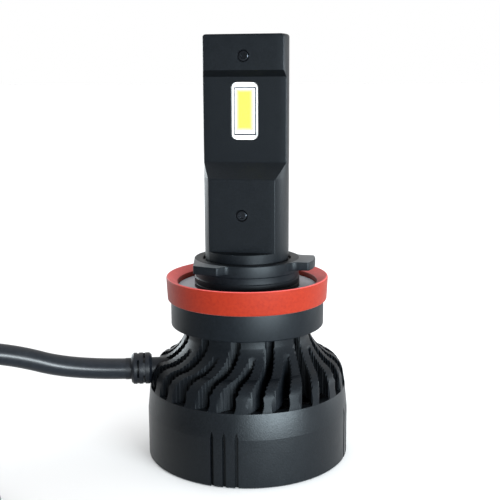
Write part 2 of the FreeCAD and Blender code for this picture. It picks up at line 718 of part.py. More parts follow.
def make_guard():
    """The round grille under the fan, and the three screws that hold it."""
    body = new_body("guard")
    revolve(body, "guard_rim", [
        ("14.0", "guard_bottom"), ("frame_radius - 0.05", "guard_bottom"),
        ("frame_radius - 0.05", "guard_top"), ("14.0", "guard_top"),
    ])
    spoke = sketch_on(body, "spoke_plan", "XY_Plane", [[
        ("0", "-0.6"), ("14.5", "-0.6"), ("14.5", "0.6"), ("0", "0.6")]], lift="guard_bottom")
    polar(body, "spokes", pad(body, "spoke", spoke, "guard_top - guard_bottom"), "6")
    rings = {"hub_disc": ["3.4"], "inner_ring": ["7.4", "6.4"], "outer_ring": ["11", "10"]}
    for name, radii in rings.items():
        circles = [("0", "0", radius) for radius in radii]
        sketch = sketch_on(body, name + "_plan", "XY_Plane", circles=circles, lift="guard_bottom")
        pad(body, name, sketch, "guard_top - guard_bottom")
    sketch = sketch_on(body, "guard_holes_plan", "XY_Plane", circles=fan_screw_holes("0.66"))
    pocket(body, "guard_holes", sketch, "guard_top + 1")
    keep("fan_guard", body)
    screws = []
    for number, angle in enumerate(FAN_SCREW_ANGLES):
        spot = outward(angle) * DIMENSIONS["fan_screw_circle"] + UP * DIMENSIONS["guard_bottom"]
        screws.append(make_screw(f"fan_screw_{number}", ("1.1", "0.38", "0.58", "5.5"), spot, V(0, 0, -1)))
    keep("fan_screws", group("fan_screw_set", screws))


# Lead, strain relief and plug

def make_strain_relief():
    """A moulded gland with two ribs. Its own Z axis points out along the lead."""
    body = new_body("gland")
    revolve(body, "gland_profile", [
        ("1.15", "0"), ("lead_radius", "0"), ("lead_radius", "9.0"), ("2.85", "9.0"),
        ("2.85", "10.5"), ("2.3", "10.5"), ("2.3", "11.3"), ("2.85", "11.3"),
        ("2.85", "12.4"), ("2.35", "12.9"), ("1.15", "12.9"),
    ])
    way = outward(-DIMENSIONS["gland_angle"])
    turn = facing(way)
    place(body, way * 9.3 + UP * DIMENSIONS["gland_height"], turn)
    keep("lead_strain_relief", body)
    across = V(way.y, -way.x, 0) * 0.54
    cores = []
    for number, side in enumerate((1, -1)):
        core = cylinder(f"lead_core_{number}", "0.5", "16.7")
        cores.append(place(core, way * 5.5 + UP * DIMENSIONS["gland_height"] + across * side, turn))
    keep("lead_cores", group("lead_core_pair", cores))


def make_tube(label, route, radius):
    """A round tube along straight runs joined by tangent arcs."""
    spots = [V(*spot) for spot in route]
    edges = []
    length = 0
    last = spots[0]
    for before, corner, after in zip(spots, spots[1:], spots[2:]):
        into, out = corner - before, after - corner
        half_turn = into.getAngle(out) / 2
        reach = 0.45 * min(into.Length, out.Length)
        bend = reach / math.tan(half_turn)
        start = corner - into.normalize() * reach
        finish = corner + out.normalize() * reach
        toward = (out - into).normalize()
        middle = corner + toward * (bend / math.cos(half_turn) - bend)
        edges += [Part.LineSegment(last, start).toShape(), Part.Arc(start, middle, finish).toShape()]
        length += (start - last).Length + 2 * half_turn * bend
        last = finish
        print(f"{label}: radius {bend:.1f} mm at a turn of {math.degrees(2 * half_turn):.1f} degrees")
    edges.append(Part.LineSegment(last, spots[-1]).toShape())
    length += (spots[-1] - last).Length
    path = Part.Wire(edges)
    start_way = (spots[1] - spots[0]).normalize()
    section = Part.Wire(Part.makeCircle(radius, spots[0], start_way))
    solid = path.makePipeShell([section], True, False)
    expected = math.pi * radius ** 2 * length
    print(f"{label}: {length:.1f} mm long, volume {solid.Volume:.1f} of {expected:.1f} mm3")
    if abs(solid.Volume / expected - 1) > 0.02:
        raise RuntimeError(f"{label} has the wrong volume")
    thing = doc.addObject("Part::Feature", label + "_tube")
    thing.Shape = solid
    keep(label, thing)


def make_coil():
    """The outer shape of the put-away coil, a plain ring."""
    body = new_body("coil")
    revolve(body, "coil_ring", [
        ("coil_radius - lead_radius", "0"), ("coil_radius + lead_radius", "0"),
        ("coil_radius + lead_radius", "coil_height"), ("coil_radius - lead_radius", "coil_height"),
    ])
    bind(body, Placement__Base__x="coil_x", Placement__Base__y="coil_y")
    keep("lead_coil", body)


def make_plug():
    """A two-blade connector. In its own frame it lies along +X and stands on z = 0."""
    rear = V(*TAIL_ROUTE[-1])
    floor = V(rear.x + PLUG_CAP_LENGTH, rear.y, 0)
    straight = FreeCAD.Rotation()
    middle = "plug_height / 2"

    body = new_body("plug_shell")
    side = [("-plug_width / 2 + 2", "0"), ("plug_width / 2 - 2", "0", "2"), ("plug_width / 2", "2"),
            ("plug_width / 2", "plug_height - 2", "2"), ("plug_width / 2 - 2", "plug_height"),
            ("-plug_width / 2 + 2", "plug_height", "2"), ("-plug_width / 2", "plug_height - 2"),
            ("-plug_width / 2", "2", "2")]
    pad(body, "plug_block", sketch_on(body, "plug_section", "YZ_Plane", [side]), "plug_length")
    mouth = [("-plug_width / 2 + plug_wall", "plug_wall"), ("plug_width / 2 - plug_wall", "plug_wall"),
             ("plug_width / 2 - plug_wall", "plug_height - plug_wall"),
             ("-plug_width / 2 + plug_wall", "plug_height - plug_wall")]
    sketch = sketch_on(body, "mouth_section", "YZ_Plane", [mouth], lift="plug_length - plug_mouth_depth")
    pocket(body, "mouth", sketch, "plug_mouth_depth + 1")
    sketch = sketch_on(body, "latch_section", "XZ_Plane", [[
        ("plug_length - 9", "plug_height - 0.4"), ("plug_length - 3", "plug_height - 0.4"),
        ("plug_length - 6", "plug_height + 1.4"), ("plug_length - 7.2", "plug_height + 1.4")]])
    pad(body, "latch_ramp", sketch, "5", symmetric=True)
    sketch = sketch_on(body, "cable_bore_section", "YZ_Plane", circles=[("0", middle, "3.6")], lift="-0.1")
    pocket(body, "cable_bore", sketch, "5.1")

    def around_blade(way, slack):
        """The outline of one blade, with some slack all round."""
        low, high = f"{middle} - 0.4 - {slack}", f"{middle} + 0.4 + {slack}"
        near, far = f"{way} * 3.4 - 1.4 - {slack}", f"{way} * 3.4 + 1.4 + {slack}"
        return [(near, low), (far, low), (far, high), (near, high)]

    slots = [around_blade(way, 0.05) for way in (-1, 1)]
    sketch = sketch_on(body, "blade_ways_section", "YZ_Plane", slots, lift="4.9")
    pocket(body, "blade_ways", sketch, "plug_length")
    place(body, floor, straight)
    keep("plug_housing", body)

    terminals = []
    for number, way in enumerate((-1, 1)):
        body = new_body(f"blade_{number}")
        sketch = sketch_on(body, f"blade_{number}_section", "YZ_Plane", [around_blade(way, 0)], lift="5.0")
        pad(body, f"blade_{number}_bar", sketch, "plug_length - 7.5")
        terminals.append(place(body, floor, straight))
    keep("plug_terminals", group("plug_terminal_pair", terminals))

    body = new_body("plug_seal_body")
    revolve(body, "plug_seal_ring", [("1.0", "0"), ("3.5", "0"), ("3.5", "4.2"), ("1.0", "4.2")])
    along = facing(V(1, 0, 0))
    centre = floor + UP * DIMENSIONS["plug_height"] / 2
    place(body, centre + V(0.3, 0, 0), along)
    keep("plug_lead_seal", body)

    body = new_body("plug_cap_body")
    revolve(body, "plug_cap_shell", [
        ("1.0", "0"), ("2.6", "0"), ("3.1", "4.2"), ("5.0", "6.2"), ("5.0", "8.0"), ("1.0", "8.0")])
    place(body, centre - V(PLUG_CAP_LENGTH, 0, 0), along)
    keep("plug_rear_cap", body)


def check_and_write():
    """Stop at any failed feature or bad shape, then write one STEP file per sub-part."""
    doc.recompute()
    for thing in doc.Objects:
        if "Invalid" in thing.State or "Error" in thing.State:
            raise RuntimeError(f"{thing.Name} failed: {thing.State}")
    os.makedirs("parts", exist_ok=True)
    for label, thing in nodes.items():
        shape = thing.Shape
        if shape.isNull() or not shape.isValid():
            raise RuntimeError(f"{label} has a bad shape")
        shape.exportStep(f"parts/{label}.step")
        box = shape.BoundBox
        height = f"z {box.ZMin:.2f} to {box.ZMax:.2f}"
        print(f"{label}: {len(shape.Solids)} solid(s), {shape.Volume:.1f} mm3, {height}")


make_heatsink()
make_collar()
make_seal()
make_collar_fixings()
make_column_shell("front_column_shell", 0, True)
make_column_shell("rear_column_shell", 180, False)
make_core_board()
make_leds()
make_column_screws()
make_driver()
make_fan_frame()
make_stator()
make_rotor()
make_guard()
make_strain_relief()
make_tube("lead", LEAD_ROUTE, DIMENSIONS["lead_radius"])
make_coil()
make_tube("lead_tail", TAIL_ROUTE, DIMENSIONS["lead_radius"])
make_plug()
check_and_write()
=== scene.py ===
"""LED headlight bulb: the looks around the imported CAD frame.

Lengths are in millimetres unless a comment says otherwise. They turn into metres where a mesh is made.
Heights count up from the floor. Angles about the upright axis count from -Y, the front, towards +X."""

import math

import bmesh
import bpy
from mathutils import Matrix, Vector


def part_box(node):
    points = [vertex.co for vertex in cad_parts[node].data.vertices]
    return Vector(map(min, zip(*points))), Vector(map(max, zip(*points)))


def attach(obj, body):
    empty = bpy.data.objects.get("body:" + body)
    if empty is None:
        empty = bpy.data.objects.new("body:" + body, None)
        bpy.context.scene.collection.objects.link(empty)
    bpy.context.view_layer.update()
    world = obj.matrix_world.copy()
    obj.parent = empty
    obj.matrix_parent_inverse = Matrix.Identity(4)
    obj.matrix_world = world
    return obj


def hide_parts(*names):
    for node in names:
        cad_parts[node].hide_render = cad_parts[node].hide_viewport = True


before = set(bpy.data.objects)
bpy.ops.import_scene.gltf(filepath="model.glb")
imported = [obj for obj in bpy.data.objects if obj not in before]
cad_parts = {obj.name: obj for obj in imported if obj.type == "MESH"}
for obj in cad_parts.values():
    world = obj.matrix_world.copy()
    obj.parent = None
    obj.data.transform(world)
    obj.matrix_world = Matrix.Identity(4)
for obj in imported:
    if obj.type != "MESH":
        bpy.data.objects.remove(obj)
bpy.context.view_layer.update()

MM = 0.001
TURN = 2 * math.pi


# ---------------------------------------------------------------- sizes taken from the frame

def corners_of(node):
    """Lowest and highest corner of a CAD node, in millimetres."""
    low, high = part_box(node)
    return Vector(low) / MM, Vector(high) / MM


heatsink_high = corners_of("heatsink_body")[1]
skirt_r, spigot_top = heatsink_high.x, heatsink_high.z
collar_low, collar_high = corners_of("locking_collar")
flange_r, collar_foot, lug_top = collar_high.x, collar_low.z, collar_high.z
seal_high = corners_of("silicone_seal")[1]
column_high = corners_of("front_column_shell")[1]
column_r, column_top = column_high.x, column_high.z
led_low, led_high = corners_of("led_substrate_front")
led_z = (led_low.z + led_high.z) / 2
plug_low, plug_high = corners_of("plug_housing")
plug_middle_y = (plug_low.y + plug_high.y) / 2
relief_low, relief_high = corners_of("lead_strain_relief")
coil_low, coil_high = corners_of("lead_coil")

# Heatsink: radii and heights.
SLOT_FLOOR = 13.1
CAVITY_R = 16.4
CAVITY_ROOF = 13.6
SHOULDER_R = 17.95
CONE_FOOT = 8.65
NECK_R = 11.4
NECK_TOP = 24.15
NECK_FOOT = 22.2
DOME_WAIST = (15.0, 18.05)
DOME_KNEE = (17.6, 15.2)
FIN_ROOT_R = 9.7
HUB_R = 9.95
DRIVER_R = 8.4
SPIGOT_R = 7.82
SOCKET_R = 6.45
SOCKET_FLOOR = 22.0

# Collar and seal: radii and heights.
FLANGE_TOP = 28.9
DISC_R = 12.6
DISC_TOP = 31.3
BAYONET_R = 9.5
BORE_R = 7.9
LUG_ROOT_R = 8.9
LUG_R = 12.36
LUG_FLOOR = 34.9
SEAL_FOOT_R = 14.44
SEAL_LIP = 32.2

# Column: distances of its milled faces from the middle, and heights.
LOWER_FACE = 4.75
LED_FACE = 1.6
TOP_FACE = 2.7
TENON_R = 6.4
TENON_FOOT = 26.0
COLUMN_FOOT = 36.0
FLAT_FOOT = 38.0
RAMP_LOW = 50.9
RAMP_HIGH = 53.6
BEVEL_LOW = 68.4
BEVEL_HIGH = 69.5
UPPER_SCREW = 71.9
LOWER_SCREW = 44.5
COUNTERBORE = 0.6
CROWN = 0.5

# Lead, plug and tie.
LEAD_R = 1.9
GLAND_ANGLE = -73.0
GLAND_HEIGHT = (relief_low.z + relief_high.z) / 2
PLUG_HEIGHT = 13.5
TIE_THICK = 0.35


def polar(radius, angle, z=0.0):
    """A point at an angle in degrees, counted from -Y towards +X."""
    a = math.radians(angle)
    return Vector((radius * math.sin(a), -radius * math.cos(a), z))


# ---------------------------------------------------------------- meshes

# Edges that turn by more than this many degrees stay sharp.
SHARP = 32


def make_object(name, points, faces, material, angle=SHARP):
    """A mesh object from points in millimetres, smooth except across sharp angles."""
    mesh = bpy.data.meshes.new(name)
    mesh.from_pydata([tuple(Vector(p) * MM) for p in points], [], faces)
    mesh.validate()
    obj = bpy.data.objects.new(name, mesh)
    bpy.context.scene.collection.objects.link(obj)
    tidy_mesh(mesh)
    mesh.materials.append(material)
    smooth(obj, angle)
    return obj


def tidy_mesh(mesh):
    """Merge doubled points and turn every face outward."""
    work = bmesh.new()
    work.from_mesh(mesh)
    bmesh.ops.remove_doubles(work, verts=work.verts, dist=1e-7)
    bmesh.ops.recalc_face_normals(work, faces=work.faces)
    work.to_mesh(mesh)
    work.free()


def smooth(obj, angle=SHARP):
    """Smooth shading, except across edges that turn by more than an angle in degrees."""
    mesh = obj.data
    mesh.polygons.foreach_set("use_smooth", [True] * len(mesh.polygons))
    mesh.set_sharp_from_angle(angle=math.radians(angle))


def apply_modifiers(obj, angle=SHARP):
    """Turn a piece's modifiers into its mesh."""
    graph = bpy.context.evaluated_depsgraph_get()
    mesh = bpy.data.meshes.new_from_object(obj.evaluated_get(graph))
    obj.modifiers.clear()
    obj.data = mesh
    smooth(obj, angle)


def carve(obj, cutters, angle=SHARP):
    """Cut closed cutters out of a closed piece, and delete them."""
    for cutter in cutters:
        modifier = obj.modifiers.new("carve", "BOOLEAN")
        modifier.operation = "DIFFERENCE"
        modifier.solver = "EXACT"
        modifier.object = cutter
    apply_modifiers(obj, angle)
    for cutter in cutters:
        bpy.data.objects.remove(cutter)


def bevelled(obj, width, segments=2):
    """Round off the edges of a piece that turn by more than 35 degrees. The width is in millimetres."""
    modifier = obj.modifiers.new("bevel", "BEVEL")
    modifier.width = width * MM
    modifier.segments = segments
    modifier.limit_method = "ANGLE"
    modifier.angle_limit = math.radians(35)
    apply_modifiers(obj)
    return obj


def join(name, pieces):
    """Several meshes as one object."""
    work = bmesh.new()
    materials = []
    for piece in pieces:
        start = len(work.faces)
        work.from_mesh(piece.data)
        work.faces.ensure_lookup_table()
        for material in piece.data.materials:
            if material not in materials:
                materials.append(material)
        for face in work.faces[start:]:
            face.material_index = materials.index(piece.data.materials[face.material_index])
    mesh = bpy.data.meshes.new(name)
    work.to_mesh(mesh)
    work.free()
    for material in materials:
        mesh.materials.append(material)
    for piece in pieces:
        bpy.data.objects.remove(piece)
    obj = bpy.data.objects.new(name, mesh)
    bpy.context.scene.collection.objects.link(obj)
    return obj


def swing(first, last, share):
    """A share of the way round from one spoke of a circle to another."""
    return first.slerp(last, share).normalized() * first.length


def rounded(corners, closed=True, steps=5):
    """A polyline whose corners (x, y, radius) are rounded off by arcs."""
    out = []
    count = len(corners)
    for i, (x, y, radius) in enumerate(corners):
        here = Vector((x, y))
        if radius <= 0 or (not closed and i in (0, count - 1)):
            out.append(here)
            continue
        back = Vector(corners[i - 1][:2]) - here
        ahead = Vector(corners[(i + 1) % count][:2]) - here
        half = back.angle(ahead) / 2
        reach = min(radius / math.tan(half), 0.48 * back.length, 0.48 * ahead.length)
        bend = reach * math.tan(half)
        middle = here + (back.normalized() + ahead.normalized()).normalized() * (bend / math.sin(half))
        first = here + back.normalized() * reach - middle
        last = here + ahead.normalized() * reach - middle
        for step in range(steps + 1):
            out.append(middle + swing(first, last, step / steps))
    return out


def rounded_box(half_wide, half_high, bend, steps=5):
    """A rectangle about the middle with rounded corners."""
    return rounded([(-half_wide, -half_high, bend), (half_wide, -half_high, bend),
                    (half_wide, half_high, bend), (-half_wide, half_high, bend)], steps=steps)


def arc(start, finish, radius, steps):
    """Points (x, y, 0) between two corners, on an arc that bulges right if radius is positive."""
    start, finish = Vector(start), Vector(finish)
    chord = finish - start
    half = chord.length / 2
    side = Vector((chord.y, -chord.x)).normalized() * math.copysign(1, radius)
    middle = start + chord / 2 - side * math.sqrt(radius * radius - half * half)
    first, last = start - middle, finish - middle
    return [(*(middle + swing(first, last, i / steps)), 0) for i in range(1, steps)]


def lathe(name, profile, material, steps):
    """Turn a closed profile of (radius, height) points about the Z axis."""
    points = []
    faces = []
    count = len(profile)
    for i in range(steps):
        a = TURN * i / steps
        points += [(r * math.sin(a), -r * math.cos(a), z) for r, z in profile]
    for i in range(steps):
        here, there = i * count, (i + 1) % steps * count
        for k in range(count):
            after = (k + 1) % count
            faces.append((here + k, there + k, there + after, here + after))
    return make_object(name, points, faces, material)


def prism(name, outline, low, high, material):
    """Raise a plan outline of (x, y) points from one height to another."""
    count = len(outline)
    points = [(x, y, low) for x, y in outline] + [(x, y, high) for x, y in outline]
    faces = [tuple(range(count))[::-1], tuple(range(count, 2 * count))]
    faces += [(i, (i + 1) % count, count + (i + 1) % count, count + i) for i in range(count)]
    return make_object(name, points, faces, material)


def loft(name, rings, material, angle=SHARP):
    """A closed solid through rings of equal counts of points."""
    count = len(rings[0])
    points = [p for ring in rings for p in ring]
    faces = [tuple(range(count)), tuple(range((len(rings) - 1) * count, len(rings) * count))[::-1]]
    for i in range(len(rings) - 1):
        for k in range(count):
            a, b = i * count + k, i * count + (k + 1) % count
            faces.append((a, b, b + count, a + count))
    return make_object(name, points, faces, material, angle)


def turn_to(obj, spot, direction):
    """Move a piece built along +Z so that it starts at a spot and points in a direction."""
    rotation = Vector((0, 0, 1)).rotation_difference(Vector(direction)).to_matrix().to_4x4()
    obj.data.transform(Matrix.Translation(Vector(spot) * MM) @ rotation)
    obj.data.update()
    return obj


# ---------------------------------------------------------------- materials

class Nodes:
    """A material's node tree, with short calls to add and link nodes."""

    def __init__(self, name):
        self.material = bpy.data.materials.new(name)
        self.material.use_nodes = True
        self.tree = self.material.node_tree
        self.shader = self.tree.nodes["Principled BSDF"]
        self.place = self.tree.nodes.new("ShaderNodeTexCoord").outputs["Object"]

    def set(self, **values):
        """Give the shader's inputs their values. An underscore in a name stands for a space."""
        for key, value in values.items():
            self.shader.inputs[key.replace("_", " ")].default_value = value

    def noise(self, grain, detail=3.0):
        """Noise whose grain has a size in millimetres."""
        node = self.tree.nodes.new("ShaderNodeTexNoise")
        node.inputs["Scale"].default_value = 1 / (grain * MM)
        node.inputs["Detail"].default_value = detail
        node.inputs["Roughness"].default_value = 0.55
        self.tree.links.new(self.place, node.inputs["Vector"])
        return node.outputs["Fac"]

    def ramp(self, source, *stops):
        """Colours between two stops (place, colour)."""
        node = self.tree.nodes.new("ShaderNodeValToRGB")
        for element, (at, colour) in zip(node.color_ramp.elements, stops):
            element.position = at
            element.color = (*colour, 1)
        self.tree.links.new(source, node.inputs["Fac"])
        return node.outputs["Color"]

    def span(self, source, low, high):
        """A value from 0 to 1, stretched to lie between two others."""
        node = self.tree.nodes.new("ShaderNodeMapRange")
        node.inputs["To Min"].default_value = low
        node.inputs["To Max"].default_value = high
        self.tree.links.new(source, node.inputs["Value"])
        return node.outputs["Result"]

    def bump(self, source, depth):
        """Relief of that depth in millimetres."""
        node = self.tree.nodes.new("ShaderNodeBump")
        node.inputs["Distance"].default_value = depth * MM
        self.tree.links.new(source, node.inputs["Height"])
        self.link(node.outputs["Normal"], "Normal")

    def link(self, source, key):
        self.tree.links.new(source, self.shader.inputs[key])


def mottled(name, dark, light, rough, grain, depth,
            metallic=0.0, specular=0.5, sheen=0.0, tint=(1, 1, 1)):
    """A surface whose colour, gloss and relief vary with a fine grain.

    The size of the grain and the depth of the relief are in millimetres."""
    made = Nodes(name)
    fine = made.noise(grain, detail=4.0)
    made.link(made.ramp(fine, (0.3, dark), (0.7, light)), "Base Color")
    made.link(made.span(made.noise(grain * 9), rough - GLOSS_SPREAD, rough + GLOSS_SPREAD), "Roughness")
    made.bump(fine, depth)
    made.set(Metallic=metallic, Specular_IOR_Level=specular, Sheen_Weight=sheen, Specular_Tint=(*tint, 1))
    return made.material


GLOSS_SPREAD = 0.06
BLACK = ((0.001, 0.0014, 0.002), (0.0032, 0.004, 0.0052))
COOL = (0.88, 0.96, 1.0)

# Black metal.
anodised = mottled("black_anodised", *BLACK, 0.40, 0.2, 0.013, specular=0.11, tint=COOL)
fin_black = mottled("fin_black", *BLACK, 0.44, 0.2, 0.013, specular=0.085, tint=COOL)
skirt_black = mottled("skirt_black", *BLACK, 0.40, 0.26, 0.022, specular=0.17, tint=COOL)
# Painted shade: a darker, duller black for the downward bevel under the column's top face.
bevel_painted_shade = mottled("bevel_painted_shade", (0.001, 0.0015, 0.002), (0.003, 0.0035, 0.004), 0.45, 0.2, 0.006,
                     specular=0.03)
collar_black = mottled("black_collar", (0.001, 0.0016, 0.0024), (0.003, 0.004, 0.0054), 0.46, 0.4, 0.003,
                       specular=0.11, tint=COOL)

# Other metals.
disc_grey = mottled("disc_grey", (0.23, 0.24, 0.265), (0.31, 0.32, 0.35), 0.5, 0.15, 0.01, specular=0.3)
# Painted light: a lighter grey for the tops of the lugs, for the light they catch from above.
lug_top_painted_light = mottled("lug_top_painted_light", (0.055, 0.061, 0.066), (0.072, 0.078, 0.083), 0.45, 0.3, 0.006,
                       specular=0.15)
dark_steel = mottled("dark_steel", (0.004, 0.005, 0.007), (0.014, 0.017, 0.021), 0.22, 0.15, 0.003,
                     metallic=0.85)
bright_steel = mottled("bright_steel", (0.5, 0.5, 0.5), (0.62, 0.62, 0.63), 0.28, 0.3, 0.002,
                       metallic=1.0)
brass = mottled("brass", (0.6, 0.42, 0.16), (0.72, 0.54, 0.24), 0.3, 0.3, 0.002, metallic=1.0)
copper_wire = mottled("copper_wire", (0.34, 0.12, 0.04), (0.5, 0.2, 0.08), 0.35, 0.3, 0.02, metallic=0.8)
tinned = mottled("tinned_blade", (0.55, 0.55, 0.52), (0.68, 0.67, 0.64), 0.3, 0.3, 0.002, metallic=1.0)

# Rubber and plastic.
red_silicone = mottled("red_silicone", (0.128, 0.0072, 0.0018), (0.162, 0.0115, 0.0028), 0.62, 0.5, 0.01,
                       specular=0.08, sheen=0.05)
# Painted light: a paler, glossier red for the seal's upward faces, for the light they catch from above.
seal_top_painted_light = mottled("seal_top_painted_light", (0.36, 0.045, 0.04), (0.44, 0.06, 0.055), 0.6, 0.5, 0.01,
                       specular=0.3)
rubber_black = mottled("black_rubber", (0.002, 0.0027, 0.004), (0.004, 0.005, 0.007), 0.42, 0.3, 0.006,
                       specular=0.15)
jacket = mottled("cable_jacket", (0.002, 0.003, 0.0045), (0.005, 0.0065, 0.009), 0.32, 0.5, 0.004,
                 specular=0.2)
green_silicone = mottled("green_silicone", (0.05, 0.25, 0.10), (0.09, 0.34, 0.15), 0.5, 0.4, 0.01)
insulation = mottled("wire_insulation", (0.30, 0.015, 0.012), (0.42, 0.03, 0.02), 0.4, 0.4, 0.006)
plastic = mottled("black_plastic", (0.005, 0.005, 0.006), (0.011, 0.011, 0.012), 0.42, 0.25, 0.008,
                  specular=0.3)

# Boards and LEDs.
copper_board = mottled("copper_board", (0.5, 0.22, 0.12), (0.66, 0.34, 0.20), 0.35, 0.4, 0.003,
                       metallic=1.0)
green_board = mottled("green_board", (0.01, 0.10, 0.04), (0.02, 0.16, 0.06), 0.35, 0.4, 0.004)
white_board = mottled("white_board", (0.86, 0.86, 0.86), (0.92, 0.92, 0.92), 0.4, 0.3, 0.003)
ceramic = mottled("white_ceramic", (0.80, 0.80, 0.80), (0.88, 0.88, 0.88), 0.45, 0.2, 0.004)
# A dark grey for the thin line round each LED package: the gap at its edge, and painted shadow.
gap_shadow_grey = mottled("gap_shadow_grey", (0.024, 0.024, 0.028), (0.040, 0.040, 0.046), 0.5, 0.2, 0.004,
                      specular=0.1)
rim_phosphor = mottled("rim_phosphor", (0.68, 0.71, 0.055), (0.77, 0.78, 0.08), 0.5, 0.2, 0.004,
                       specular=0.3)
pale_phosphor = mottled("pale_phosphor", (0.70, 0.72, 0.13), (0.78, 0.79, 0.18), 0.5, 0.2, 0.004,
                        specular=0.3)


def phosphor_material():
    """Lemon-yellow phosphor that glows faintly."""
    made = Nodes("yellow_phosphor")
    grain = made.noise(0.12, detail=2.0)
    made.link(made.ramp(grain, (0.25, (0.66, 0.70, 0.02)), (0.75, (0.76, 0.78, 0.045))), "Base Color")
    made.bump(grain, 0.008)
    made.set(Roughness=0.5, Specular_IOR_Level=0.3)
    made.set(Emission_Color=(0.9, 0.95, 0.05, 1), Emission_Strength=0.04)
    return made.material


phosphor = phosphor_material()


# ---------------------------------------------------------------- camera and lead

def make_camera():
    """A 65 mm lens at the height of the LEDs, looking down a little."""
    turn, pitch, roll = math.radians(11.0), math.radians(10.56), math.radians(-0.25)
    distance, height, aside = 160.6, 67.55, 0.55
    data = bpy.data.cameras.new("camera")
    data.lens = 65.02
    data.sensor_width = 36
    data.clip_start = 0.005
    data.clip_end = 60
    camera = bpy.data.objects.new("camera", data)
    bpy.context.scene.collection.objects.link(camera)
    x = distance * math.sin(turn) + aside * math.cos(turn)
    y = -distance * math.cos(turn) + aside * math.sin(turn)
    camera.location = Vector((x, y, height)) * MM
    aim = Matrix.Rotation(turn, 3, "Z") @ Matrix.Rotation(math.pi / 2 - pitch, 3, "X")
    camera.rotation_euler = (aim @ Matrix.Rotation(roll, 3, "Z")).to_euler()
    bpy.context.scene.camera = camera


# The way of the lead in metres: from the gland to the coil, and from the coil to the plug.
LEAD_ROUTE = [
    (-0.0213, -0.0065, 0.0161), (-0.0308, -0.0094, 0.0163), (-0.0398, -0.0155, 0.0207),
    (-0.0491, -0.0213, 0.0222), (-0.0588, -0.0264, 0.0199), (-0.0673, -0.0325, 0.0150),
    (-0.0713, -0.0421, 0.0097), (-0.0700, -0.0529, 0.0062),
]
TAIL_ROUTE = [
    (-0.0478, -0.0660, 0.0023), (-0.0371, -0.0645, 0.0024), (-0.0260, -0.0629, 0.0056),
    (-0.0152, -0.0623, 0.00675),
]


def coil_turns():
    """The put-away part of the lead in metres: a turn and a quarter that sinks to the floor."""
    middle = (coil_low + coil_high) / 2 * MM
    radius = 0.0203
    first, last, count = math.radians(198), math.radians(639), 15
    floor_level = LEAD_R * MM + TIE_THICK * MM + 0.00005
    level, fall_from, fall_by = 0.0062, math.radians(112), math.radians(113)
    points = []
    for i in range(1, count):
        turned = (last - first) * i / count
        fallen = min(max((turned - fall_from) / fall_by, 0), 1)
        a = first + turned
        points.append((middle.x + radius * math.cos(a), middle.y + radius * math.sin(a),
                       level + (floor_level - level) * fallen))
    return points


def make_lead():
    """The lead, from the strain relief through its coil to the plug, as one smooth spline."""
    route = LEAD_ROUTE + coil_turns() + TAIL_ROUTE
    curve = bpy.data.curves.new("power_lead", "CURVE")
    curve.dimensions = "3D"
    curve.bevel_depth = LEAD_R * MM
    curve.bevel_resolution = 9
    curve.resolution_u = 10
    curve.use_fill_caps = True
    spline = curve.splines.new("NURBS")
    spline.points.add(len(route) - 1)
    for point, spot in zip(spline.points, route):
        point.co = (*spot, 1)
    spline.order_u = 3
    spline.use_endpoint_u = True
    curve.materials.append(jacket)
    lead = bpy.data.objects.new("power_lead", curve)
    bpy.context.scene.collection.objects.link(lead)
    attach(lead, "root")
    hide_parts("lead", "lead_coil", "lead_tail")
    return lead


def make_tie():
    """A cable tie round the two strands of the coil, with its head on top."""
    bearing = math.radians(240)
    outward = Vector((math.cos(bearing), math.sin(bearing), 0))
    along = Vector((-math.sin(bearing), math.cos(bearing), 0))
    middle = (coil_low + coil_high) / 2 + outward * 19.75
    half, top = 2.15, 8.2
    loops = []
    for grow in (TIE_THICK, 0):
        wide, low, high = half + grow, TIE_THICK - grow, top + grow
        loops.append([(p.x, p.y) for p in rounded([
            (-wide, low, 1.9), (wide, low, 1.9), (wide, high, 1.9), (-wide, high, 1.9)], steps=8)])
    band = prism("band", loops[0], -1.2, 1.2, plastic)
    carve(band, [prism("inside", loops[1], -2, 2, plastic)])
    head_outline = [(-1.6, top - 0.1), (1.6, top - 0.1), (1.6, top + 1.5), (-1.6, top + 1.5)]
    head = prism("head", head_outline, -1.9, 1.9, plastic)
    tie = join("coil_tie", [bevelled(band, 0.1), bevelled(head, 0.35, segments=3)])
    frame_of_tie = Matrix((outward, (0, 0, 1), along)).transposed().to_4x4()
    tie.data.transform(Matrix.Translation(Vector((middle.x, middle.y, 0)) * MM) @ frame_of_tie)
    tidy_mesh(tie.data)
    smooth(tie)
    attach(tie, "root")
    return tie


# ---------------------------------------------------------------- heatsink

def blend_table(stations, at):
    """Linear interpolation in a list of (radius, value)."""
    if at <= stations[0][0]:
        return stations[0][1]
    for (r0, v0), (r1, v1) in zip(stations, stations[1:]):
        if at <= r1:
            return v0 + (v1 - v0) * (at - r0) / (r1 - r0)
    return stations[-1][1]


# The slots between the fins: the angle of a slot's middle at a radius, and its width at some radii.
LONG_SLOT = {"angle": lambda r: 31.0 - 2.41 * (r - NECK_R),
             "width": [(9.9, 1.5), (11.4, 1.75), (14.5, 2.15), (18.8, 2.5)]}
SHORT_SLOT = {"angle": lambda r: 13.0 - 2.76 * (r - 12.9),
              "width": [(12.1, 0.9), (13.2, 1.6), (15.2, 2.2), (18.8, 3.3)]}
SHORT_START = 12.1
SCALLOP_PITCH = 0.5
SCALLOP_DEPTH = 0.34
FIN_COUNT = 12
FIN_STEP = 30

# The angles of one group of flutes in the skirt, and the spigot's two grooves (floor radius, foot, top).
FLUTE_TURNS = (-8.2, -1.5, 5.2)
SPIGOT_GROOVES = ((7.3, 25.3, 28.1), (7.05, 32.2, 33.2))


def half_width(slot, r):
    """Half of a slot's width at a radius as an angle in degrees, with the scallops of its walls."""
    scallop = SCALLOP_DEPTH * abs(math.sin(math.pi * r / SCALLOP_PITCH))
    return math.degrees((blend_table(slot["width"], r) / 2 + scallop - SCALLOP_DEPTH / 2) / r)


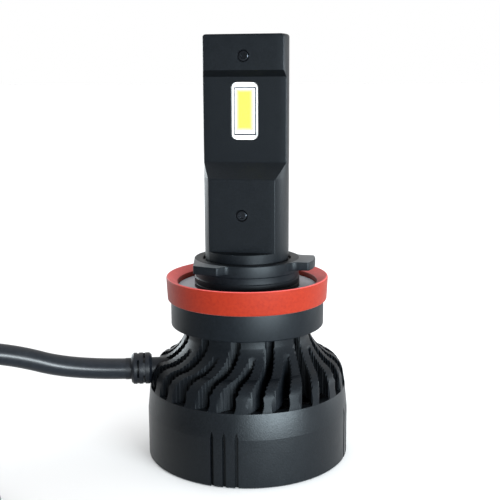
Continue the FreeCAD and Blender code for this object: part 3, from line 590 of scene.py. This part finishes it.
def dome_profile():
    """The outline of the fins from the neck down to the shoulder, in short steps."""
    ledge = 0.1
    corners = [(FIN_ROOT_R, NECK_TOP, 0), (NECK_R - 0.1, NECK_TOP, 0), (NECK_R, NECK_TOP - 0.1, 0),
               (NECK_R, NECK_FOOT + 0.3, 0), (NECK_R + ledge, NECK_FOOT, 0)]
    corners += arc((NECK_R + ledge, NECK_FOOT), DOME_WAIST, 8.5, 12)
    corners += [(*DOME_WAIST, 0)]
    corners += arc(DOME_WAIST, DOME_KNEE, -3.4, 12)
    corners += [(*DOME_KNEE, 0), (SHOULDER_R, SLOT_FLOOR, 0), (SHOULDER_R, SLOT_FLOOR - 0.1, 0)]
    fine = []
    step = SCALLOP_PITCH / 6
    for (r0, z0, _), (r1, z1, _) in zip(corners, corners[1:]):
        pieces = max(1, math.ceil(abs(r1 - r0) / step))
        fine += [(r0 + (r1 - r0) * i / pieces, z0 + (z1 - z0) * i / pieces) for i in range(pieces)]
    return fine + [corners[-1][:2]]


def fork_fin(middle_angle, profile, base):
    """One fin between two long slots, split into two prongs by a short slot.

    Each column of the grid runs down the dome. The walls stand straight down from its edges."""
    across = 4
    rows = []
    for r, z in profile:
        left = LONG_SLOT["angle"](r) - FIN_STEP + half_width(LONG_SLOT, r)
        right = LONG_SLOT["angle"](r) - half_width(LONG_SLOT, r)
        centre = SHORT_SLOT["angle"](r)
        gap = half_width(SHORT_SLOT, r) if r > SHORT_START else 0
        row = [left + (centre - gap - left) * i / across for i in range(across + 1)]
        row += [centre + gap + (right - centre - gap) * i / across for i in range(across + 1)]
        rows.append((r, z, [a + middle_angle for a in row]))
    points, faces = [], []
    width = 2 * (across + 1)
    for r, z, row in rows:
        points += [polar(r, a, z) for a in row]
    lower = len(points)
    for r, z, row in rows:
        points += [polar(r, a, base) for a in row]
    for i in range(len(rows) - 1):
        split = rows[i + 1][0] > SHORT_START
        for k in range(width - 1):
            if k == across:
                continue
            a, b = i * width + k, i * width + k + 1
            c, d = b + width, a + width
            faces.append((a, b, c, d))
            faces.append((lower + d, lower + c, lower + b, lower + a))
        sides = [0, width - 1] + ([across, across + 1] if split else [])
        for k in sides:
            a, d = i * width + k, (i + 1) * width + k
            faces.append((a, d, lower + d, lower + a))
    for i in (0, len(rows) - 1):
        for k in range(width - 1):
            if k == across:
                continue
            a, b = i * width + k, i * width + k + 1
            faces.append((a, b, lower + b, lower + a))
    return points, faces


def make_heatsink():
    """Skirt with its flutes, the slotted dome of fins, and the neck and spigot inside."""
    skirt = lathe("skirt", rounded([
        (skirt_r - 0.3, 0, 0.1), (skirt_r, 0.3, 0.1), (skirt_r, CONE_FOOT, 0.25),
        (SHOULDER_R, SLOT_FLOOR, 0.05), (CAVITY_R, SLOT_FLOOR, 0.05), (CAVITY_R, 0, 0.15)], steps=3),
        skirt_black, steps=288)
    cutters = []
    for side in range(4):
        for turn in FLUTE_TURNS:
            cutters.append(flute_cutter(side * 90 + turn))
    carve(skirt, [join("flute_cutters", cutters)], angle=28)
    profile = dome_profile()
    points, faces = [], []
    for k in range(FIN_COUNT):
        start = len(points)
        fin_points, fin_faces = fork_fin(FIN_STEP * k, profile, SLOT_FLOOR - 0.1)
        points += fin_points
        faces += [tuple(start + v for v in face) for face in fin_faces]
    fins = make_object("fins", points, faces, fin_black, angle=40)
    spigot = []
    for groove_r, foot, top in SPIGOT_GROOVES:
        spigot += [(SPIGOT_R, foot), (groove_r, foot), (groove_r, top), (SPIGOT_R, top)]
    hub = lathe("hub", [
        (DRIVER_R, CAVITY_ROOF), (HUB_R, CAVITY_ROOF), (HUB_R, NECK_TOP - 0.02),
        (SPIGOT_R, NECK_TOP - 0.02), *spigot, (SPIGOT_R, spigot_top),
        (SOCKET_R, spigot_top), (SOCKET_R, SOCKET_FLOOR), (DRIVER_R, SOCKET_FLOOR)], anodised, steps=96)
    heatsink = join("heatsink_casting", [skirt, fins, hub])
    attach(heatsink, "root")
    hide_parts("heatsink_body")


def flute_cutter(angle):
    """A thin upright blade whose top comes to a point."""
    half, low, square, tip = 0.3, -1.0, 8.9, 9.9
    inner, outer = skirt_r - 0.7, skirt_r + 1
    outline = [(-half, low), (half, low), (half, square), (0, tip), (-half, square)]
    bearing = math.radians(angle)
    across = Vector((math.cos(bearing), math.sin(bearing), 0))
    rings = [[polar(r, angle, z) + across * side for side, z in outline] for r in (inner, outer)]
    return loft("flute", rings, skirt_black)


# ---------------------------------------------------------------- collar and seal

# The corners of a lug's outline: radius, angle from the lug's middle, and how far the corner is rounded.
WIDE_LUG = (
    (LUG_ROOT_R, -30, 0), (BAYONET_R + 0.02, -31, 0), (BAYONET_R + 0.2, -22, 1.4), (12.3, -17, 0.5),
    (LUG_R, -8, 0), (12.38, 0, 0), (LUG_R, 8, 0), (12.3, 17, 0.5), (BAYONET_R + 0.2, 22, 1.4),
    (BAYONET_R + 0.02, 31, 0), (LUG_ROOT_R, 30, 0), (LUG_ROOT_R, 0, 0),
)
KEY_LUG = (
    (LUG_ROOT_R, -74, 0), (BAYONET_R, -74, 0), (LUG_R, -37.8, 0.35), (11.5, -15.7, 0.4),
    (BAYONET_R + 0.05, -10.5, 1.0), (BAYONET_R, -3, 0), (LUG_ROOT_R, -3, 0), (LUG_ROOT_R, -40, 0),
)


def make_lug(name, middle, corners):
    """A lug with softened edges. Its top lies a hair below the ring's, so that the two never coincide."""
    outline = []
    for r, angle, bend in corners:
        spot = polar(r, middle + angle)
        outline.append((spot.x, spot.y, bend))
    lug = prism(name, rounded(outline), LUG_FLOOR, lug_top - 0.01, collar_black)
    return bevelled(lug, 0.12, segments=3)


def make_collar():
    """Flange, disc, bayonet neck and the three lugs."""
    ring = lathe("collar_ring", rounded([
        (BORE_R, collar_foot, 0.1), (flange_r, collar_foot, 0.25), (flange_r, FLANGE_TOP, 0.05),
        (DISC_R, FLANGE_TOP, 0.05), (DISC_R, DISC_TOP, 0.15), (BAYONET_R, DISC_TOP, 0.1),
        (BAYONET_R, 31.95, 0.02), (BAYONET_R - 0.1, 32.05, 0.02), (BAYONET_R - 0.1, 32.15, 0.02),
        (BAYONET_R, 32.2, 0.02), (BAYONET_R, 33.05, 0.02), (BAYONET_R - 0.15, 33.2, 0.02),
        (BAYONET_R - 0.15, 34.25, 0.02), (BAYONET_R, 34.4, 0.02), (BAYONET_R, lug_top, 0.15),
        (BORE_R, lug_top, 0.2)], steps=4),
        collar_black, steps=256)
    lugs = [make_lug("lug", 90, WIDE_LUG), make_lug("lug", 210, WIDE_LUG),
            make_lug("key_lug", 0, KEY_LUG)]
    collar = join("bayonet_collar", [ring] + lugs)
    smooth(collar)
    collar.data.materials.append(disc_grey)
    collar.data.materials.append(lug_top_painted_light)
    for face in collar.data.polygons:
        spot = face.center / MM
        r = math.hypot(spot.x, spot.y)
        if BAYONET_R < r < DISC_R and abs(spot.z - DISC_TOP) < 0.02:
            face.material_index = 1
        # The lugs' upward faces get the lighter grey: painted light.
        elif r > BAYONET_R + 0.1 and face.normal.z > 0.9 and spot.z > lug_top - 0.05:
            face.material_index = 2
    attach(collar, "collar")
    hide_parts("locking_collar")


def make_seal():
    """The soft red ring round the disc."""
    seal = lathe("seal_ring", rounded([
        (DISC_R + 0.02, FLANGE_TOP, 0.1), (SEAL_FOOT_R, FLANGE_TOP, 0.3), (seal_high.x, seal_high.z, 0.3),
        (DISC_R + 0.02, SEAL_LIP, 0.3)], steps=6), red_silicone, steps=256)
    # Faces turned upwards get the paler red: painted light.
    seal.data.materials.append(seal_top_painted_light)
    for face in seal.data.polygons:
        if face.normal.z > 0.5:
            face.material_index = 1
    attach(seal, "collar")
    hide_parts("silicone_seal")


# ---------------------------------------------------------------- lamp column

def column_section(radius, flat, guide, z):
    """Half of the column's cross-section: a D whose flat lies at a distance from the axis.

    A flat beyond the radius leaves a half circle, whose points stand as they would for the guide flat."""
    round_foot = flat >= radius
    turn = math.acos(min(guide, radius - 0.01) / radius)
    gap = 0.35 / radius
    steps = 14
    corners = []
    for side in (1, -1):
        sweep = [math.pi / 2 + (turn + gap - math.pi / 2) * i / steps for i in range(steps + 1)]
        if side < 0:
            sweep.reverse()
        arc_points = [(side * radius * math.sin(a), -radius * math.cos(a), 0) for a in sweep]
        corner = [(side * radius * math.sin(turn), -radius * math.cos(turn), 0.13)]
        corners += arc_points + corner if side > 0 else corner + arc_points
        if side > 0:
            half = radius * math.sin(turn)
            for i in range(1, 10):
                x = half - 2 * half * i / 10
                corners.append((x, -math.sqrt(radius ** 2 - x ** 2) if round_foot else -flat, 0))
    return [(p.x, p.y, z) for p in rounded(corners, steps=4)]


def column_levels():
    """(height, distance of the flat, radius) at each level of the column, from its foot up."""
    no_flat = 9.0
    levels = [(TENON_FOOT, no_flat, TENON_R), (COLUMN_FOOT - 0.02, no_flat, TENON_R),
              (COLUMN_FOOT, no_flat, column_r - 0.08), (FLAT_FOOT - 0.01, no_flat, column_r)]
    flats = rounded([
        (FLAT_FOOT, LOWER_FACE, 0), (RAMP_LOW, LOWER_FACE, 0.4), (RAMP_HIGH, LED_FACE, 0.4),
        (BEVEL_LOW, LED_FACE, 0.12), (BEVEL_HIGH, TOP_FACE, 0.2), (column_top, TOP_FACE, 0)],
        closed=False, steps=4)
    levels += [(p.x, p.y, column_r) for p in flats[:-1]]
    steps = 6
    for i in range(steps + 1):
        a = math.pi / 2 * i / steps
        levels.append((column_top - CROWN + CROWN * math.sin(a), TOP_FACE - 0.15 * (1 - math.cos(a)),
                       column_r - CROWN * (1 - math.cos(a))))
    return levels


def column_half(name, turned):
    """One half of the column: half a round bar, milled flat outside and hollowed for the core board."""
    rings = []
    for z, flat, radius in column_levels():
        guide = LOWER_FACE if flat >= radius else flat
        rings.append(column_section(radius, flat, guide, z))
    half = loft(name, rings, anodised, angle=25)
    core = prism("core", [(-6.2, -0.79), (6.2, -0.79), (6.2, 0.5), (-6.2, 0.5)], 20.0, 74.85, anodised)
    cutters = [core, window_cutter(width=4.78, height=9.96, bend=1.0, face=LED_FACE, flare=0.12)]
    cutters += [bore_cutter(UPPER_SCREW, TOP_FACE, not turned),
                bore_cutter(LOWER_SCREW, LOWER_FACE, not turned)]
    carve(half, cutters, angle=25)
    # The downward faces of the bevel get the darker black: painted shade.
    half.data.materials.append(bevel_painted_shade)
    for face in half.data.polygons:
        spot = face.center / MM
        if BEVEL_LOW < spot.z < BEVEL_HIGH and face.normal.z < -0.3:
            face.material_index = 1
    if turned:
        half.data.transform(Matrix.Rotation(math.pi, 4, "Z"))
    return half


def window_cutter(width, height, bend, face, flare):
    """A rounded window from the core board out through a face, with a small chamfer at its mouth."""
    levels = [(0.5, 0), (face - flare, 0), (face + 0.01, flare), (face + 1, flare)]
    rings = []
    for depth, grow in levels:
        outline = rounded_box(width / 2 + grow, height / 2 + grow, bend + grow, steps=8)
        rings.append([(p.x, -depth, led_z + p.y) for p in outline])
    return loft("window", rings, anodised)


def bore_cutter(height, face, sunk):
    """The hole of a column screw: a counterbore in the front half, a tapped hole in the rear half."""
    radius, depth, lip = (1.0, COUNTERBORE, 0.1) if sunk else (0.64, face - 0.85, 0.12)
    profile = [(0, face - depth), (radius, face - depth), (radius, face - lip),
               (radius + lip, face + 0.01), (radius + lip, face + 1), (0, face + 1)]
    cutter = lathe("bore", profile, anodised, steps=40)
    return turn_to(cutter, (0, 0, height), (0, -1, 0))


def make_column():
    """Both halves of the column. The rear one is turned half a turn."""
    for name, node, turned in (("column_front", "front_column_shell", False),
                               ("column_rear", "rear_column_shell", True)):
        half = column_half(name, turned)
        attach(half, "root")
        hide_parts(node)


# ---------------------------------------------------------------- LEDs

def plate(name, material, width, height, bend, inner, outer, soft, up):
    """A rounded plate between two distances from the column's middle plane, which faces -Y.

    Its outer edge is softened. It sits a little up from the level of the LED's middle."""
    rings = []
    for depth, shrink in ((inner, 0), (outer - soft, 0), (outer, soft)):
        outline = rounded_box(width / 2 - shrink, height / 2 - shrink, max(bend - shrink, 0.01), steps=6)
        rings.append([(p.x, -depth, led_z + up + p.y) for p in outline])
    return loft(name, rings, material)


# The plates of an LED: piece, CAD node, slot and material, then the numbers that plate asks for.
LED_PLATES = (
    ("board_window_", "led_substrate", "white_board", white_board,
     4.75, 9.9, 0.95, 0.78, 0.98, 0.03, 0.0),
    ("led_chip_carrier_", "led_package", "white_ceramic", ceramic,
     3.5, 7.8, 0.08, 0.98, 1.43, 0.03, 0.0),
    ("phosphor_layer_", "led_phosphor", "yellow_phosphor", phosphor,
     1.95, 6.15, 0.1, 1.43, 1.51, 0.03, 0.22),
    # A dark plate a little wider than the package, showing as a line round it: the gap at its edge, and
    # painted shadow.
    ("solder_line_", None, "dark_steel", gap_shadow_grey,
     3.98, 8.4, 0.1, 0.9, 1.05, 0.02, -0.05),
    ("phosphor_rim_", None, "yellow_phosphor", rim_phosphor,
     2.35, 6.45, 0.2, 1.4, 1.49, 0.01, 0.22),
    ("phosphor_border_", None, "yellow_phosphor", pale_phosphor,
     3.05, 7.15, 0.3, 1.4, 1.47, 0.02, 0.22),
)


def make_leds():
    """Both LEDs, each a stack of plates on the core board. The rear one is turned half a turn."""
    for side in ("front", "rear"):
        for name, node, finish, material, *numbers in LED_PLATES:
            piece = plate(name + side, material, *numbers)
            if side == "rear":
                piece.data.transform(Matrix.Rotation(math.pi, 4, "Z"))
            if node:
                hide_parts(f"{node}_{side}")
            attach(piece, "root")


# How far a screw's profile keeps from its axis.
NEAR_AXIS = 0.0001


def socket_head(name, radius, height, spot, direction, material):
    """A button head with a hexagon socket, standing on its seat."""
    profile = rounded([(NEAR_AXIS, 0, 0), (radius, 0, 0.03), (radius, height, 0.18),
                       (NEAR_AXIS, height, 0)], steps=4)
    head = lathe(name, profile, material, steps=40)
    reach = 0.62 * radius
    hexagon = [(reach * math.cos(TURN * k / 6), reach * math.sin(TURN * k / 6)) for k in range(6)]
    carve(head, [prism("key", hexagon, height * 0.2, height + 1, material)])
    return turn_to(head, spot, direction)


def make_column_screws():
    """The two screws that hold the halves together. Each ends at a distance behind the middle plane."""
    shank_r = 0.58
    parts = []
    for height, face, end in ((UPPER_SCREW, TOP_FACE, 2.2), (LOWER_SCREW, LOWER_FACE, 4.25)):
        seat = face - COUNTERBORE
        parts.append(socket_head("screw_head", 0.93, 0.55, (0, -seat, height), (0, -1, 0), dark_steel))
        profile = [(NEAR_AXIS, 0), (shank_r, 0), (shank_r, seat + end), (NEAR_AXIS, seat + end)]
        shank = lathe("shank", profile, dark_steel, steps=24)
        parts.append(turn_to(shank, (0, end, height), (0, -1, 0)))
    screws = join("column_screw_pair", parts)
    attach(screws, "root")
    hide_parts("column_screws")


# ---------------------------------------------------------------- strain relief

# How far out from the bulb's axis the relief starts, and its ribs and bridges along it. A rib is two ends,
# the length of its slope at each end, and its radius at each end. A bridge is two ends and its angles.
RELIEF_START = 9.3
RIB_FOOT_R = 1.6
RIB_R = 2.85
RIBS = ((8.3, 9.5, 0.45, 0.02, 2.45, 2.83), (9.9, 10.6, 0.02, 0.02, 2.83, 2.83),
        (11.0, 12.0, 0.02, 0.45, 2.83, 2.45))
BRIDGES = ((9.4, 10.0, (60, 180, 300)), (10.5, 11.1, (0, 120, 240)))


def make_strain_relief():
    """Three ribs round the lead, tied by bridges that leave slots between them."""
    way = polar(1, GLAND_ANGLE)
    sleeve_r, sleeve_end = LEAD_R + 0.05, 13.02
    parts = [lathe("relief_core", rounded([
        (0.3, 0, 0), (LEAD_R, 0, 0), (sleeve_r, 9.0, 0), (sleeve_r, sleeve_end, 0),
        (0.3, sleeve_end, 0)]), rubber_black, steps=64)]
    for low, high, slope_low, slope_high, r_low, r_high in RIBS:
        profile = rounded([(RIB_FOOT_R, low, 0), (r_low, low, 0.12), (RIB_R, low + slope_low, 0.15),
                           (RIB_R, high - slope_high, 0.15), (r_high, high, 0.12), (RIB_FOOT_R, high, 0)])
        parts.append(lathe("rib", profile, rubber_black, steps=64))
    half = math.radians(24)
    for low, high, angles in BRIDGES:
        for angle in angles:
            outline = [(r * math.cos(math.radians(angle) + s), r * math.sin(math.radians(angle) + s))
                       for r, s in ((RIB_FOOT_R, -half), (2.75, -half), (2.8, 0), (2.75, half),
                                    (RIB_FOOT_R, half))]
            parts.append(prism("bridge", outline, low, high, rubber_black))
    relief = join("strain_relief_ribs", parts)
    smooth(relief)
    turn_to(relief, way * RELIEF_START + Vector((0, 0, GLAND_HEIGHT)), way)
    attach(relief, "root")
    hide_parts("lead_strain_relief")
    return relief


# ---------------------------------------------------------------- plug

def plug_ring(along, shrink, bend):
    """The plug's rounded section, some way from its rear face, drawn in from the full size."""
    outline = rounded_box((plug_high.y - plug_low.y) / 2 - shrink, PLUG_HEIGHT / 2 - shrink, bend)
    return [(plug_low.x + along, plug_middle_y + p.x, PLUG_HEIGHT / 2 + p.y) for p in outline]


def plug_bar(name, outline, near, far):
    """A bar across the plug's top, whose outline is (distance from the rear face, height)."""
    rings = [[(plug_low.x + x, plug_middle_y + y, z) for x, z in outline] for y in (near, far)]
    return bevelled(loft(name, rings, plastic), 0.2, segments=3)


def make_plug():
    """The housing with its grip grooves, mouth and latch, and the ribbed boot behind it."""
    boot_length = 8.0
    steps = [(0, 0.5, 1.6), (0.4, 0, 2.0)]
    for groove in (1.8, 3.4, 5.0):
        steps += [(groove, 0, 2.0), (groove + 0.25, 0.4, 1.7),
                  (groove + 0.75, 0.4, 1.7), (groove + 1.0, 0, 2.0)]
    steps += [(8.2, 0, 2.0), (8.5, 0.35, 1.7), (20.2, 0.35, 1.7), (20.5, 0, 2.0), (21.75, 0, 2.0),
              (22.0, 0.25, 1.8), (22.0, 1.35, 0.6), (21.7, 1.6, 0.35), (9.0, 1.6, 0.35)]
    shell = loft("plug_shell", [plug_ring(*step) for step in steps], plastic)
    latch = plug_bar("latch", [(13.0, 12.9), (19.0, 12.9), (16.0, 14.85), (14.8, 14.85)], -2.5, 2.5)
    rail_outline = [(11.5, 12.9), (20.0, 12.9), (19.6, 14.1), (12.3, 14.1)]
    rails = [plug_bar("rail", rail_outline, side * 3.3, side * 4.3) for side in (-1, 1)]
    housing = join("plug_housing_shell", [shell, latch] + rails)
    boot = lathe("plug_boot", rounded([
        (1.0, 0, 0), (2.5, 0, 0.2), (2.6, 0.9, 0.1), (2.25, 1.1, 0.1), (2.25, 1.5, 0.1),
        (2.75, 1.7, 0.1), (2.8, 2.5, 0.1), (2.4, 2.7, 0.1), (2.4, 3.1, 0.1), (2.95, 3.3, 0.1),
        (3.1, 4.2, 0.4), (5.0, 6.2, 0.4), (5.0, boot_length, 0.1), (1.0, boot_length, 0)]),
        plastic, steps=96)
    turn_to(boot, (plug_low.x - boot_length, plug_middle_y, PLUG_HEIGHT / 2), (1, 0, 0))
    for piece, node in ((housing, "plug_housing"), (boot, "plug_rear_cap")):
        smooth(piece)
        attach(piece, "root")
        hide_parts(node)
    return housing, boot


# ---------------------------------------------------------------- carried-over CAD nodes

PAINT = {
    "collar_grub_screw": dark_steel, "spigot_o_ring": rubber_black, "led_core_board": copper_board,
    "driver_board": green_board, "driver_capacitor": plastic, "driver_inductor": plastic,
    "driver_chip": plastic, "led_leads": insulation, "fan_leads": insulation, "fan_frame": plastic,
    "bearing_sleeve": brass, "stator_core": bright_steel, "stator_coils": copper_wire,
    "fan_circuit_board": green_board, "fan_shaft": bright_steel, "shaft_clip": bright_steel,
    "rotor_magnet": dark_steel, "rotor_cup": bright_steel, "fan_impeller": plastic,
    "fan_guard": plastic, "fan_screws": dark_steel, "lead_cores": insulation,
    "plug_terminals": tinned, "plug_lead_seal": green_silicone,
}


def paint_nodes():
    """Every CAD node that still shows gets its material."""
    for name, material in PAINT.items():
        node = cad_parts[name]
        node.data.materials.clear()
        node.data.materials.append(material)


# ---------------------------------------------------------------- stage

# How bright the surround is at the sides, overhead and as a share in front. Lengths here are in metres.
SURROUND = 1.0
ZENITH = 1.9
FRONT_DIM = 0.6
FLOOR_HALF = 30.0
LIGHT_DISTANCE = 0.6
LIGHT_HEIGHT = 0.12
LIGHT_COLOUR = (0.86, 0.95, 1.0)
LIGHT_AIM = 0.035


def make_floor():
    """A wide, pale and matt floor."""
    half = FLOOR_HALF
    corners = [(-half, -half, 0), (half, -half, 0), (half, half, 0), (-half, half, 0)]
    mesh = bpy.data.meshes.new("floor")
    mesh.from_pydata(corners, [], [(0, 1, 2, 3)])
    floor = bpy.data.objects.new("floor", mesh)
    bpy.context.scene.collection.objects.link(floor)
    made = Nodes("pale_floor")
    patches = made.noise(1000 / 30, detail=1.0)
    made.link(made.ramp(patches, (0.0, (0.75, 0.75, 0.75)), (1.0, (0.77, 0.77, 0.77))), "Base Color")
    made.set(Roughness=1.0, Specular_IOR_Level=0.0)
    mesh.materials.append(made.material)


def make_sky():
    """A white surround, brighter overhead and dimmer in front."""
    world = bpy.data.worlds.new("studio")
    bpy.context.scene.world = world
    world.use_nodes = True
    tree = world.node_tree
    place = tree.nodes.new("ShaderNodeTexCoord")
    split = tree.nodes.new("ShaderNodeSeparateXYZ")
    tree.links.new(place.outputs["Generated"], split.inputs["Vector"])
    shades = []
    for axis, first, last, low, high in (("Z", 0.35, 1.0, SURROUND, ZENITH),
                                         ("Y", -0.8, -0.1, FRONT_DIM, 1.0)):
        shade = tree.nodes.new("ShaderNodeMapRange")
        for key, value in (("From Min", first), ("From Max", last), ("To Min", low), ("To Max", high)):
            shade.inputs[key].default_value = value
        tree.links.new(split.outputs[axis], shade.inputs["Value"])
        shades.append(shade.outputs["Result"])
    product = tree.nodes.new("ShaderNodeMath")
    product.operation = "MULTIPLY"
    background = tree.nodes["Background"]
    tree.links.new(shades[0], product.inputs[0])
    tree.links.new(shades[1], product.inputs[1])
    tree.links.new(product.outputs["Value"], background.inputs["Strength"])
    background.inputs["Color"].default_value = (1, 1, 1, 1)


def make_light(name, bearing, elevation, width, power):
    """A soft box that faces the lamp from a bearing and an elevation in degrees."""
    data = bpy.data.lights.new(name, "AREA")
    data.shape = "RECTANGLE"
    data.size = width
    data.size_y = LIGHT_HEIGHT
    data.energy = power
    data.color = LIGHT_COLOUR
    light = bpy.data.objects.new(name, data)
    bpy.context.scene.collection.objects.link(light)
    rise = math.radians(elevation)
    away = polar(math.cos(rise), bearing, math.sin(rise))
    light.location = away * LIGHT_DISTANCE + Vector((0, 0, LIGHT_AIM))
    light.rotation_euler = away.to_track_quat("Z", "Y").to_euler()
    light.visible_camera = False


def make_stage():
    """A pale floor, soft light from all round and three soft boxes."""
    make_floor()
    make_sky()
    make_light("right_front_box", bearing=41, elevation=3, width=0.5, power=16.0)
    make_light("right_side_box", bearing=120, elevation=3, width=0.22, power=1.3)
    make_light("left_side_box", bearing=-126, elevation=5, width=0.26, power=2.4)
    bpy.context.scene.view_settings.view_transform = "Standard"


make_camera()
make_stage()
lead = make_lead()
relief = make_strain_relief()
make_heatsink()
make_collar()
make_seal()
make_column()
make_leds()
make_column_screws()
housing, boot = make_plug()
tie = make_tie()
paint_nodes()
